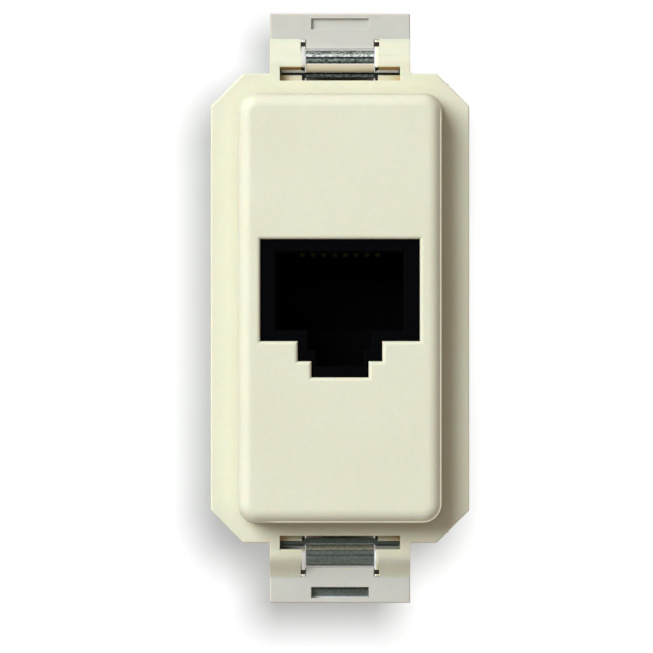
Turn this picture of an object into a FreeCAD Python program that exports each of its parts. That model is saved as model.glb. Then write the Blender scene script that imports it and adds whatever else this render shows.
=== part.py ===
import FreeCAD, Part
import math
import os
from types import SimpleNamespace

import Sketcher

# Telephone socket insert that snaps into a wall support frame. Millimetres.
# X runs to the right, Y into the wall and Z up. The plane Y = 0 is the rear face of the
# ear plates, which seats on the support frame, and the Y axis goes through the middle of the face.

# Driving dimensions: name, size and what it measures
DIMENSIONS = (
    ("flange_width", 24.5, "flange across"),
    ("flange_height", 44.5, "flange from top to bottom"),
    ("flange_corner", 3.1, "cut of each flange corner"),
    ("flange_thick", 2.2, "flange from rear to front"),
    ("flange_edge", 0.16, "rounding of the flange's front edge"),
    ("face_width", 19.4, "raised face across its foot"),
    ("face_height", 40.8, "raised face from top to bottom at its foot"),
    ("face_rise", 4.2, "raised face above the flange"),
    ("face_corner", 1.9, "corner radius of the raised face"),
    ("face_draft", 3.0, "draft of the raised face in degrees"),
    ("face_edge", 1.15, "rounding of the raised face's front edge"),
    ("face_wall", 1.5, "wall of the raised face"),
    ("rim_edge", 0.35, "rounding of the opening's rim"),
    ("opening_top", 6.53, "top of the stepped opening above the middle"),
    ("opening_width", 15.1, "widest part of the opening"),
    ("opening_floor", 3.12, "floor of the widest part below the middle"),
    ("key_width", 8.0, "first step of the opening"),
    ("key_floor", 5.02, "floor of the first step below the middle"),
    ("latch_width", 5.4, "second step of the opening"),
    ("latch_floor", 6.55, "floor of the second step below the middle"),
    ("ear_width", 13.3, "clip ear across"),
    ("ear_reach", 27.95, "end of the ear plates from the middle"),
    ("ear_thick", 1.2, "ear plate from rear to front"),
    ("ear_edge", 0.12, "rounding of the ear plate's ends"),
    ("slot_length", 11.4, "slot between flange and ear arms"),
    ("slot_near", 21.58, "inner side of that slot from the middle"),
    ("slot_far", 22.85, "outer side of that slot from the middle"),
    ("slot_ledge", 0.52, "ledge left at the foot of the slot's ends"),
    ("slot_middle", 7.2, "deep middle part of the slot"),
    ("slot_ledge_depth", 1.1, "ledge below the flange's front"),
    ("arm_gap", 6.6, "gap between the two arms of an ear"),
    ("arm_bevel", 0.3, "bevel of the arms' inner edges beside the spring"),
    ("arm_shoulder", 23.9, "where an arm's front turns down towards its lip"),
    ("arm_end", 25.45, "end of the arms from the middle"),
    ("arm_crease", 24.8, "crease between roll and lip of an arm"),
    ("arm_lip", 0.85, "thickness of an arm's lip"),
    ("arm_lip_fall", 0.1, "fall of an arm's lip to either side of its mean thickness"),
    ("arm_lip_round", 0.2, "rounding of an arm's lip and of its crease"),
    ("arm_roll", 1.4, "rounding of an arm's front roll"),
    ("arm_notch", 0.42, "relief notch at an arm's inner corner"),
    ("notch_depth", 0.6, "relief notch in the ear plate"),
    ("ear_pad", 0.65, "raised pad of the ear plate outside and between the arms"),
    ("pry_slot_length", 5.45, "release slot of the ear plate"),
    ("pry_slot_height", 1.04, "height of the release slot"),
    ("pry_slot_middle", 26.98, "middle of the release slot"),
    ("pry_slot_depth_top", 0.35, "depth of the upper release slot"),
    ("pry_slot_depth_bottom", 1.6, "depth of the lower release slot"),
    ("spring_width", 6.45, "spring strip across"),
    ("spring_thick", 0.45, "spring strip thickness"),
    ("spring_leg", 22.56, "middle plane of the spring's inner leg"),
    ("spring_open", 1.74, "distance between the spring's two legs"),
    ("spring_crest", 2.95, "front of the spring's bend before the seat"),
    ("spring_crest_bend", 0.86, "middle radius of the spring's two crest bends"),
    ("spring_nose", 3.1, "widest point of the outer leg outside the inner leg"),
    ("spring_wing", 11.1, "spring across its holding wings"),
    ("wing_thick", 0.44, "thickness of the wings"),
    ("wing_rise", 0.05, "middle of the wings' tips above the strip's lower edge"),
    ("wing_sag", 0.5, "how far the strip sags between its wings"),
    ("wing_knee", 0.28, "width of the step from sag to wing"),
    ("spring_bend", 0.6, "bends of the spring's outer leg"),
    ("spring_foot", 6.35, "rear end of the spring behind the seat"),
    ("spring_flare", 2.3, "start of the outer leg's flare behind the seat"),
    ("spring_nose_depth", 4.4, "nose of the outer leg behind the seat"),
    ("spring_seat_front", 2.2, "front of the spring's seat behind the ear plate's rear"),
    ("spring_window_near", 21.35, "inner side of the spring's window from the middle"),
    ("housing_width", 20.0, "rear housing across"),
    ("housing_height", 42.0, "rear housing from top to bottom"),
    ("housing_depth", 13.5, "rear housing behind the seat"),
    ("housing_wall", 1.4, "side walls of the rear housing"),
    ("housing_edge", 0.8, "rounding of the housing's upright edges"),
    ("housing_rim", 0.3, "step of the seat plate round the housing"),
    ("housing_back", 1.5, "back wall of the rear housing"),
    ("tongue_middle", 11.0, "height of the snap tongues from the middle"),
    ("tongue_width", 5.0, "snap tongue across"),
    ("tongue_thick", 1.1, "snap tongue thickness"),
    ("tongue_inner", 10.4, "inner side of the tongues from the middle"),
    ("tongue_end", 6.0, "end of the tongues behind the seat"),
    ("catch_width", 3.0, "window of a tongue across"),
    ("catch_front", 2.2, "front of the window behind the seat"),
    ("catch_rear", 4.6, "rear of the window behind the seat"),
    ("bay_rise", 5.0, "barrier ribs of the terminal bays"),
    ("bay_pitch", 6.4, "terminal pitch"),
    ("bay_first", 11.2, "first terminal row from the middle"),
    ("rib_thick", 1.0, "barrier ribs"),
    ("rib_round", 1.4, "rounding of the barrier ribs' free corners"),
    ("bay_sill", 1.3, "sill at the wire side of a bay"),
    ("bay_sill_thick", 0.7, "thickness of that sill"),
    ("post_side", 1.8, "square post behind the circuit board"),
    ("terminal_column", 6.5, "terminal screws from the middle"),
    ("spine_half", 3.0, "outer side of the spine walls from the middle"),
    ("jack_recess", 0.4, "jack mouth behind the face"),
    ("fit_gap", 0.1, "gap between pieces that slide together"),
    ("snug_gap", 0.02, "gap between faces that are set against each other"),
    ("hole_play", 0.2, "play of pins and wires in their holes"),
    ("weld", 0.5, "how far an added form reaches into what carries it"),
    ("collar_depth", 1.5, "collar of the jack behind the face"),
    ("jack_rear", 6.6, "rear of the jack behind the seat"),
    ("jack_half", 7.0, "half width of the jack's body"),
    ("jack_roof", 8.2, "top of the jack's body"),
    ("jack_sole", 7.6, "underside of the jack's body below the middle"),
    ("jack_skin", 0.8, "roof of the jack over the contact block"),
    ("jack_wall", 1.1, "wall of the jack round the plug mouth's steps"),
    ("peg_diameter", 2.0, "locating peg of the jack"),
    ("mouth_width", 11.9, "plug mouth across"),
    ("mouth_top", 5.2, "roof of the plug mouth above the middle"),
    ("mouth_floor", 2.05, "floor of the plug mouth below the middle"),
    ("mouth_rear", 4.9, "rear of the plug mouth behind the seat"),
    ("mouth_lead", 0.22, "lead-in round the plug mouth"),
    ("latch_room_front", 1.6, "latch shoulder behind the mouth"),
    ("latch_room_rear", 2.0, "end of the latch room behind the seat"),
    ("contact_pitch", 1.02, "contact pitch"),
    ("contact_wire", 0.46, "contact wire across"),
    ("contact_thick", 0.34, "contact wire thickness"),
    ("contact_bend", 0.55, "bends of a contact wire"),
    ("contact_run", 6.9, "height of the wires on the contact block"),
    ("contact_front", 4.2, "front of the wires before the seat"),
    ("contact_drop", 4.9, "height where a wire turns back"),
    ("contact_tip", 2.9, "height of the wires' free ends"),
    ("contact_tip_depth", 2.5, "free ends behind the seat"),
    ("tail_row", 9.4, "height of the raised tail row"),
    ("tail_out", 0.6, "tails beyond the circuit board"),
    ("tail_rise", 4.5, "place where a raised tail leaves the block"),
    ("block_width", 9.7, "contact block across"),
    ("board_width", 16.8, "circuit board across"),
    ("board_height", 38.0, "circuit board from top to bottom"),
    ("board_thick", 1.2, "circuit board"),
    ("plate_width", 5.4, "terminal plate across"),
    ("plate_height", 5.0, "terminal plate from top to bottom"),
    ("plate_thick", 1.0, "terminal plate"),
    ("tail_width", 1.0, "solder tail across"),
    ("tail_thick", 0.6, "solder tail"),
    ("washer_side", 5.0, "clamp washer"),
    ("washer_thick", 0.7, "clamp washer's plate"),
    ("washer_lip", 0.35, "turned up edges of a clamp washer"),
    ("screw_thread", 2.4, "terminal screw's shank diameter"),
    ("screw_hole", 3.0, "square well for the screw in the housing's back wall"),
    ("screw_head", 4.2, "terminal screw's head diameter"),
    ("screw_head_rise", 1.6, "terminal screw's head"),
    ("screw_length", 5.0, "terminal screw below its head"),
    ("screw_slot", 0.6, "driver slot"),
    ("screw_slot_depth", 0.9, "depth of the driver slot"),
)

FRONT, SIDE, TOP = "XZ_Plane", "YZ_Plane", "XY_Plane"
ENDS = (1, -1)
SIDES = {1: "right", -1: "left"}
CONTACTS = 8
BAY_ROWS = 2
TOUCH = 1e-6
IN_PLANE = 1e-4

doc = FreeCAD.newDocument("telephone_socket")


class Size:
    """A length, kept as its number and as the sheet expression that gives it."""

    def __init__(self, number, text):
        self.number = number
        self.text = text

    def __add__(self, other):
        other = as_size(other)
        return Size(self.number + other.number, f"({self.text} + {other.text})")

    def __sub__(self, other):
        other = as_size(other)
        return Size(self.number - other.number, f"({self.text} - {other.text})")

    def __mul__(self, factor):
        return Size(self.number * factor, f"({self.text} * ({factor}))")

    def __truediv__(self, divisor):
        return Size(self.number / divisor, f"({self.text} / {divisor})")

    def __neg__(self):
        return Size(-self.number, f"(-{self.text})")

    def __radd__(self, other):
        return as_size(other) + self

    def __rsub__(self, other):
        return as_size(other) - self

    def __rmul__(self, factor):
        return self * factor


def as_size(value):
    if isinstance(value, Size):
        return value
    return Size(float(value), f"({float(value)})")


def fill_sheet():
    """Puts every driving dimension in its own named cell and returns the named sizes."""
    sheet = doc.addObject("Spreadsheet::Sheet", "Sizes")
    for row, (name, number, meaning) in enumerate(DIMENSIONS, start=1):
        sheet.set(f"A{row}", meaning)
        sheet.set(f"B{row}", str(number))
        sheet.setAlias(f"B{row}", name)
    doc.recompute()
    return SimpleNamespace(**{name: Size(number, f"Sizes.{name}") for name, number, _ in DIMENSIONS})


# Sketches and features

def new_body(name):
    body = doc.addObject("PartDesign::Body", name)
    body.Label = name
    return body


def new_sketch(body, plane, name, at):
    """A sketch on one of the body's own planes, moved along that plane's axis to the place given."""
    sketch = body.newObject("Sketcher::SketchObject", name)
    origin = {feature.Role: feature for feature in body.Origin.OriginFeatures}
    sketch.AttachmentSupport = [(origin[plane], "")]
    sketch.MapMode = "FlatFace"
    offset = -as_size(at) if plane == FRONT else as_size(at)
    sketch.AttachmentOffset = FreeCAD.Placement(FreeCAD.Vector(0, 0, offset.number), FreeCAD.Rotation())
    sketch.setExpression("AttachmentOffset.Base.z", offset.text)
    return sketch


def measure(sketch, kind, *where, size):
    size = as_size(size)
    index = sketch.addConstraint(Sketcher.Constraint(kind, *where, size.number))
    sketch.setExpression(f"Constraints[{index}]", size.text)


def place(sketch, geometry, end, across, up):
    """Holds one end of a line, or a point, at its distance from the sketch's origin."""
    measure(sketch, "DistanceX", -1, 1, geometry, end, size=across)
    measure(sketch, "DistanceY", -1, 1, geometry, end, size=up)


def draw(sketch, corners, closed=True):
    """Draws lines from corner to corner. A corner with a third value is rounded to that radius."""
    points = [FreeCAD.Vector(as_size(c[0]).number, as_size(c[1]).number, 0) for c in corners]
    count = len(points)
    leave, arrive = list(points), list(points)
    arcs = {}
    for i, corner in enumerate(corners):
        if len(corner) < 3:
            continue
        radius = as_size(corner[2]).number
        before = (points[i] - points[i - 1]).normalize()
        after = (points[(i + 1) % count] - points[i]).normalize()
        turn = math.atan2(before.x * after.y - before.y * after.x, before * after)
        reach = radius * math.tan(abs(turn) / 2)
        arrive[i] = points[i] - before * reach
        leave[i] = points[i] + after * reach
        side = 1 if turn > 0 else -1
        centre = arrive[i] + FreeCAD.Vector(-before.y, before.x, 0) * (side * radius)
        first, last = (arrive[i], leave[i]) if side > 0 else (leave[i], arrive[i])
        angles = [math.atan2(p.y - centre.y, p.x - centre.x) for p in (first, last)]
        circle = Part.Circle(centre, FreeCAD.Vector(0, 0, 1), radius)
        arcs[i] = (Part.ArcOfCircle(circle, angles[0], angles[1]), side)
    spans = range(count if closed else count - 1)
    lines = [sketch.addGeometry(Part.LineSegment(leave[i], arrive[(i + 1) % count]), False) for i in spans]
    for i, corner in enumerate(corners):
        if not closed and i == count - 1:
            place(sketch, lines[-1], 2, corner[0], corner[1])
        elif not closed and i == 0:
            place(sketch, lines[0], 1, corner[0], corner[1])
        elif i not in arcs:
            sketch.addConstraint(Sketcher.Constraint("Coincident", lines[i - 1], 2, lines[i], 1))
            place(sketch, lines[i], 1, corner[0], corner[1])
        else:
            arc, side = arcs[i]
            bend = sketch.addGeometry(arc, False)
            meet = sketch.addGeometry(Part.Point(points[i]), True)
            start, end = (1, 2) if side > 0 else (2, 1)
            sketch.addConstraint(Sketcher.Constraint("Tangent", lines[i - 1], 2, bend, start))
            sketch.addConstraint(Sketcher.Constraint("Tangent", bend, end, lines[i], 1))
            measure(sketch, "Radius", bend, size=corner[2])
            place(sketch, meet, 1, corner[0], corner[1])
            sketch.addConstraint(Sketcher.Constraint("PointOnObject", meet, 1, lines[i - 1]))
            sketch.addConstraint(Sketcher.Constraint("PointOnObject", meet, 1, lines[i]))


def draw_circle(sketch, across, up, diameter):
    centre = FreeCAD.Vector(as_size(across).number, as_size(up).number, 0)
    radius = as_size(diameter) / 2
    ring = sketch.addGeometry(Part.Circle(centre, FreeCAD.Vector(0, 0, 1), radius.number), False)
    measure(sketch, "Radius", ring, size=radius)
    place(sketch, ring, 3, across, up)


def extrude(body, plane, name, outlines, start, end, cut=False, taper=None):
    """Adds or cuts the outlines from one place to another along the plane's axis.

    An outline is a list of corners, or one triple (across, up, diameter) for a circle.
    """
    start, end = as_size(start), as_size(end)
    sketch = new_sketch(body, plane, f"{name}_outline", start)
    for outline in outlines:
        if isinstance(outline, tuple):
            draw_circle(sketch, *outline)
        else:
            draw(sketch, outline)
    doc.recompute()
    before = body.Shape.Volume if cut else 0.0
    feature = body.newObject("PartDesign::Pocket" if cut else "PartDesign::Pad", name)
    feature.Profile = sketch
    along = 1 if end.number > start.number else -1
    with_normal = along if plane != FRONT else -along
    feature.Reversed = with_normal > 0 if cut else with_normal < 0
    feature.setExpression("Length", ((end - start) * along).text)
    if taper is not None:
        feature.setExpression("TaperAngle", (-taper).text)
    doc.recompute()
    if cut and body.Shape.Volume > before - TOUCH:
        raise RuntimeError(f"{body.Label}: {name} cuts nothing")
    return feature


def sweep(body, name, at, path, plane, profile_at, profile, cut=False):
    """Carries a profile along a path of straight runs and bends that is drawn on the side plane."""
    route = new_sketch(body, SIDE, f"{name}_path", at)
    draw(route, path, closed=False)
    section = new_sketch(body, plane, f"{name}_section", profile_at)
    draw(section, profile)
    doc.recompute()
    before = body.Shape.Volume if cut else 0.0
    pipe = body.newObject("PartDesign::SubtractivePipe" if cut else "PartDesign::AdditivePipe", name)
    pipe.Profile = section
    pipe.Spine = route
    doc.recompute()
    if cut and body.Shape.Volume > before - TOUCH:
        raise RuntimeError(f"{body.Label}: {name} cuts nothing")
    return pipe


def blend(body, name, radius, chosen, chamfer=False):
    """Rounds or chamfers every edge of the body that the test chooses."""
    base = body.Tip
    names = [f"Edge{i}" for i, edge in enumerate(base.Shape.Edges, start=1) if chosen(edge)]
    if not names:
        raise RuntimeError(f"{body.Label}: {name} finds no edge")
    feature = body.newObject("PartDesign::Chamfer" if chamfer else "PartDesign::Fillet", name)
    feature.Base = (base, names)
    feature.setExpression("Size" if chamfer else "Radius", radius.text)
    doc.recompute()
    return feature


def in_plane(edge, axis, at):
    """Whether an edge lies in the plane where the axis has the value given."""
    box = edge.BoundBox
    low, high = getattr(box, f"{axis}Min"), getattr(box, f"{axis}Max")
    return abs(low - as_size(at).number) < IN_PLANE and abs(high - as_size(at).number) < IN_PLANE


def reach(edge, axis):
    """How far an edge gets from the middle along an axis."""
    box = edge.BoundBox
    return max(abs(getattr(box, f"{axis}Min")), abs(getattr(box, f"{axis}Max")))


def rectangle(low_x, high_x, low_z, high_z):
    return [(low_x, low_z), (high_x, low_z), (high_x, high_z), (low_x, high_z)]


def centred(width, height):
    return rectangle(-width / 2, width / 2, -height / 2, height / 2)


def flipped(outline, side):
    """The outline itself, or its mirror image upside down, still drawn the same way round."""
    turned = [(corner[0], corner[1] * side, *corner[2:]) for corner in outline]
    return turned if side > 0 else turned[::-1]


def stepped(inset):
    """The plug opening's outline: a wide part and two narrower steps below it, less the inset all round."""
    wide = dim.opening_width / 2 - inset
    key = dim.key_width / 2 - inset
    latch = dim.latch_width / 2 - inset
    top = dim.opening_top - inset
    floor = -dim.opening_floor + inset
    key_floor = -dim.key_floor + inset
    latch_floor = -dim.latch_floor + inset
    left = [(-wide, top), (-wide, floor), (-key, floor), (-key, key_floor), (-latch, key_floor)]
    left.append((-latch, latch_floor))
    right = [(-across, up) for across, up in reversed(left)]
    return left + right


# Planes from front to rear

def planes():
    base_front = -dim.ear_thick
    flange_front = base_front - dim.flange_thick
    face_front = flange_front - dim.face_rise
    back = dim.housing_depth
    return SimpleNamespace(
        face_front=face_front,
        face_inside=face_front + dim.face_wall,
        mouth_front=face_front + dim.jack_recess,
        flange_front=flange_front,
        base_front=base_front,
        pad_front=base_front - dim.ear_pad,
        board_rear=dim.jack_rear + dim.board_thick,
        back_inside=back - dim.housing_back,
        back=back,
        plate_rear=back + dim.plate_thick,
        washer_rear=back + dim.plate_thick + dim.washer_thick,
        bay_rear=back + dim.bay_rise,
    )


# Pieces

def make_front_frame():
    body = new_body("front_frame")
    half_width, half_height, cut = dim.flange_width / 2, dim.flange_height / 2, dim.flange_corner
    octagon = [
        (-half_width + cut, -half_height),
        (half_width - cut, -half_height),
        (half_width, -half_height + cut),
        (half_width, half_height - cut),
        (half_width - cut, half_height),
        (-half_width + cut, half_height),
        (-half_width, half_height - cut),
        (-half_width, -half_height + cut),
    ]
    extrude(body, FRONT, "flange", [octagon], y.base_front, y.flange_front)
    blend(body, "flange_rounding", dim.flange_edge, lambda e: in_plane(e, "Y", y.flange_front))
    foot = [(*corner, dim.face_corner) for corner in centred(dim.face_width, dim.face_height)]
    extrude(body, FRONT, "raised_face", [foot], y.flange_front, y.face_front, taper=dim.face_draft)
    blend(body, "face_rounding", dim.face_edge, lambda e: in_plane(e, "Y", y.face_front))
    add_ear_arms(body)
    inside = [(*corner, dim.face_corner / 2) for corner in centred(
        dim.face_width - dim.face_wall * 2, dim.face_height - dim.face_wall * 2)]
    extrude(body, FRONT, "hollow", [inside], y.base_front, y.face_inside, cut=True)
    extrude(body, FRONT, "plug_opening", [stepped(0)], y.face_inside, y.face_front, cut=True)
    reach_of_rim = (dim.opening_width / 2 + dim.fit_gap).number
    blend(body, "opening_rim", dim.rim_edge,
          lambda e: in_plane(e, "Y", y.face_front) and reach(e, "X") < reach_of_rim)
    add_jack_ribs(body)
    add_snap_tongues(body)
    return body


def add_ear_arms(body):
    """Two arms at each end: a rail beside the slot, a front roll, a crease and a lip over the ear plate."""
    outer, slot_half, gap_half = dim.ear_width / 2, dim.slot_length / 2, dim.arm_gap / 2
    lip = y.base_front - dim.arm_lip
    root = dim.flange_height / 2 - dim.flange_edge * 2
    roll = [
        (y.base_front, dim.slot_far),
        (y.base_front, dim.arm_end),
        (lip + dim.arm_lip_fall, dim.arm_end, dim.arm_lip_round),
        (lip - dim.arm_lip_fall, dim.arm_crease, dim.arm_lip_round),
        (y.flange_front, dim.arm_shoulder, dim.arm_roll),
        (y.flange_front, dim.slot_far, dim.flange_edge),
    ]
    for side, name in SIDES.items():
        rail = rectangle(side * slot_half, side * outer, root, dim.slot_far + dim.flange_edge)
        rails = [flipped(rail, end) for end in ENDS]
        extrude(body, FRONT, f"{name}_rails", rails, y.base_front, y.flange_front)
        extrude(body, SIDE, f"{name}_arms", [flipped(roll, end) for end in ENDS],
                side * gap_half, side * outer)
    through = rectangle(-slot_half, slot_half, dim.slot_near + dim.slot_ledge, dim.slot_far)
    middle = rectangle(-dim.slot_middle / 2, dim.slot_middle / 2, dim.slot_near, dim.slot_far)
    ledge = rectangle(-slot_half, slot_half, dim.slot_near, dim.slot_far)
    ledge_floor = y.flange_front + dim.slot_ledge_depth
    cuts = {"ear_slots": (through, y.base_front), "spring_slots": (middle, y.base_front),
            "slot_ledges": (ledge, ledge_floor)}
    for name, (outline, floor) in cuts.items():
        extrude(body, FRONT, name, [flipped(outline, end) for end in ENDS], floor, y.flange_front, cut=True)
    for side, name in SIDES.items():
        for end in ENDS:
            bevel_arm(body, f"{name}_arm_bevel", side, end, lip)
    extrude(body, FRONT, "arm_notches", arm_notches(), y.base_front, y.flange_front, cut=True)


def arm_notches():
    """Small square notches at the inner corners of the arms' ends."""
    top, edge = dim.arm_end - dim.arm_notch / 2, dim.arm_gap / 2
    return [flipped(rectangle(side * edge, side * (edge + dim.arm_notch), top - dim.arm_notch, top), end)
            for side in SIDES for end in ENDS]


def bevel_arm(body, name, side, end, lip):
    """Cuts the arm's inner edge to a bevel that follows the roll and the lip."""
    edge, slack, size = dim.arm_gap / 2, dim.fit_gap / 2, dim.arm_bevel
    path = [
        (y.flange_front, (dim.slot_far - dim.weld) * end),
        (y.flange_front, dim.arm_shoulder * end, dim.arm_roll),
        (lip - dim.arm_lip_fall, dim.arm_crease * end, dim.arm_lip_round),
        (lip + dim.arm_lip_fall, (dim.arm_end + dim.weld) * end),
    ]
    section = [
        (side * (edge - slack), y.flange_front - slack),
        (side * (edge + size + slack), y.flange_front - slack),
        (side * (edge - slack), y.flange_front + size + slack),
    ]
    sweep(body, name, side * edge, path, TOP, (dim.slot_far - dim.weld) * end, section, cut=True)


def add_jack_ribs(body):
    """Cross ribs inside the raised face that hold the jack's collar from above and below."""
    half = dim.face_width / 2 - dim.face_wall / 2
    collar = dim.jack_sole + dim.fit_gap
    ribs = [flipped(rectangle(-half, half, collar, collar + dim.rib_thick), end) for end in ENDS]
    extrude(body, FRONT, "jack_ribs", ribs, y.face_inside - dim.weld, y.face_inside + dim.collar_depth)


def add_snap_tongues(body):
    """Four tongues behind the flange with a window each, for the catches of the housing."""
    low, high = dim.tongue_middle - dim.tongue_width / 2, dim.tongue_middle + dim.tongue_width / 2
    tongue = [(y.flange_front + dim.flange_thick / 2, low), (dim.tongue_end, low, dim.tongue_thick),
              (dim.tongue_end, high, dim.tongue_thick), (y.flange_front + dim.flange_thick / 2, high)]
    catch_low, catch_high = dim.tongue_middle - dim.catch_width / 2, dim.tongue_middle + dim.catch_width / 2
    window = rectangle(dim.catch_front, dim.catch_rear, catch_low, catch_high)
    for side, name in SIDES.items():
        outlines = [flipped(shape, end) for shape in (tongue, window) for end in ENDS]
        extrude(body, SIDE, f"{name}_tongues", outlines, side * dim.tongue_inner,
                side * (dim.tongue_inner + dim.tongue_thick))


def make_rear_housing():
    body = new_body("rear_housing")
    seat_half, seat_high = dim.housing_width / 2 + dim.housing_rim, dim.housing_height / 2 + dim.housing_rim
    ear = dim.ear_width / 2
    right = [(seat_half, -seat_high), (seat_half, seat_high), (ear, seat_high), (ear, dim.ear_reach)]
    left = [(-across, up) for across, up in right]
    base = [(ear, -dim.ear_reach), (ear, -seat_high)] + right + left[::-1]
    base += [(-ear, -seat_high), (-ear, -dim.ear_reach)]
    extrude(body, FRONT, "seat_plate", [base], y.base_front, 0)
    add_ear_pads(body)
    box = [(*corner, dim.housing_edge) for corner in centred(dim.housing_width, dim.housing_height)]
    extrude(body, FRONT, "box", [box], 0, y.back)
    blend(body, "back_edges", dim.housing_edge / 2, lambda e: in_plane(e, "Y", y.back))
    inside = centred(dim.housing_width - dim.housing_wall * 2, dim.housing_height - dim.housing_wall * 2)
    extrude(body, FRONT, "hollow", [inside], y.base_front, y.back_inside, cut=True)
    add_spring_places(body)
    add_catches(body)
    add_terminal_bays(body)
    add_board_posts(body)
    return body


def spring_window_far():
    """Outer side of the spring's window from the middle."""
    return dim.spring_leg + dim.spring_open + dim.spring_thick / 2 + dim.fit_gap


def add_ear_pads(body):
    """T-shaped pads on the ear plates: the stem lies between the arms, the bar outside their ends."""
    ear, stem = dim.ear_width / 2, dim.arm_gap / 2 - dim.fit_gap
    step, foot = dim.arm_end + dim.snug_gap, spring_window_far()
    right = [(stem, foot), (stem, step), (ear, step), (ear, dim.ear_reach)]
    pad = right + [(-across, up) for across, up in reversed(right)]
    extrude(body, FRONT, "ear_pads", [flipped(pad, end) for end in ENDS], y.base_front, y.pad_front)
    blend(body, "ear_ends", dim.ear_edge,
          lambda e: reach(e, "Z") > dim.ear_reach.number - TOUCH and in_plane(e, "Y", y.pad_front))


def add_spring_places(body):
    """At each end a window for the spring, the release slot and a seat for the spring's inner leg."""
    half = dim.spring_width / 2
    window_half = half + dim.fit_gap
    window = rectangle(-window_half, window_half, dim.spring_window_near, spring_window_far())
    extrude(body, FRONT, "spring_windows", [flipped(window, end) for end in ENDS], y.base_front, 0, cut=True)
    slot_half, slot_rise = dim.pry_slot_length / 2, dim.pry_slot_height / 2
    slot = rectangle(-slot_half, slot_half, dim.pry_slot_middle - slot_rise, dim.pry_slot_middle + slot_rise)
    pad, plate = y.pad_front, y.base_front
    for end, depth in zip(ENDS, (dim.pry_slot_depth_top, dim.pry_slot_depth_bottom)):
        extrude(body, FRONT, "release_slot", [flipped(slot, end)], pad + depth, pad, cut=True)
    extrude(body, FRONT, "notch_floors", arm_notches(), plate + dim.notch_depth, plate, cut=True)
    seat_foot, seat_top = dim.housing_height / 2 - dim.weld, dim.spring_leg - dim.spring_thick / 2
    seats = [flipped(rectangle(-half, half, seat_foot, seat_top), end) for end in ENDS]
    extrude(body, FRONT, "spring_seats", seats, dim.spring_seat_front, dim.spring_foot)


def add_catches(body):
    """Wedges on the side walls that fill the windows of the snap tongues."""
    wall, crest = dim.housing_width / 2, dim.tongue_inner + dim.tongue_thick / 2
    root, half = wall - dim.weld, dim.catch_width / 2 - dim.fit_gap
    front, rear = dim.catch_front + dim.fit_gap, dim.catch_rear - dim.fit_gap
    for side in SIDES:
        wedge = [(side * root, front), (side * wall, front), (side * crest, rear), (side * root, rear)]
        for end in ENDS:
            level = dim.tongue_middle * end
            extrude(body, TOP, f"{SIDES[side]}_catch", [wedge], level - half, level + half)


def terminal_rows():
    return [(dim.bay_first + dim.bay_pitch * step) * end for end in ENDS for step in range(BAY_ROWS)]


def tail_place():
    """Distance of a terminal's solder tail from the middle: the inner edge of its plate."""
    return dim.terminal_column - dim.plate_width / 2 + dim.tail_thick / 2


def add_terminal_bays(body):
    """Open bays at both ends of the back, with barrier ribs, a spine wall and holes for screws and tails."""
    spine, half_rib, outer = dim.spine_half, dim.rib_thick / 2, dim.housing_width / 2
    start = dim.bay_first - dim.bay_pitch / 2
    combs, sills, holes, tails = [], [], [], []
    for side in SIDES:
        teeth = []
        for row in range(BAY_ROWS + 1):
            level = start + dim.bay_pitch * row
            teeth += [(side * spine, level - half_rib), (side * outer, level - half_rib)]
            teeth += [(side * outer, level + half_rib), (side * spine, level + half_rib)]
        inner = side * (spine - dim.rib_thick)
        comb = [(inner, teeth[0][1])] + teeth[1:-1] + [(inner, teeth[-1][1])]
        sill_inner, sill_end = outer - dim.bay_sill_thick, start + dim.bay_pitch * BAY_ROWS
        sill = rectangle(side * sill_inner, side * outer, start, sill_end)
        combs += [flipped(comb, end) for end in ENDS]
        sills += [flipped(sill, end) for end in ENDS]
        tail_half, tail_rise = dim.tail_thick / 2 + dim.fit_gap, dim.tail_width / 2 + dim.fit_gap
        middle, hole_half = side * dim.terminal_column, dim.screw_hole / 2
        for level in terminal_rows():
            tail = side * tail_place()
            low, high = level - hole_half, level + hole_half
            holes.append(rectangle(middle - hole_half, middle + hole_half, low, high))
            tails.append(rectangle(tail - tail_half, tail + tail_half, level - tail_rise, level + tail_rise))
    foot = y.back - dim.weld
    extrude(body, FRONT, "barrier_ribs", combs, foot, y.bay_rear)
    blend(body, "rib_corners", dim.rib_round,
          lambda e: in_plane(e, "Y", y.bay_rear) and any(in_plane(e, "X", outer * side) for side in SIDES))
    extrude(body, FRONT, "bay_sills", sills, foot, y.back + dim.bay_sill)
    extrude(body, FRONT, "terminal_holes", holes + tails, y.back_inside, y.back, cut=True)


def add_board_posts(body):
    """Posts on the inside of the back wall that the circuit board rests on."""
    half = dim.post_side / 2
    across, up = dim.board_width / 2 - dim.post_side, dim.jack_half - half
    posts = [flipped(rectangle(side * across - half, side * across + half, up - half, up + half), end)
             for side in SIDES for end in ENDS]
    extrude(body, FRONT, "board_posts", posts, y.board_rear, y.back_inside + dim.weld)


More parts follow.
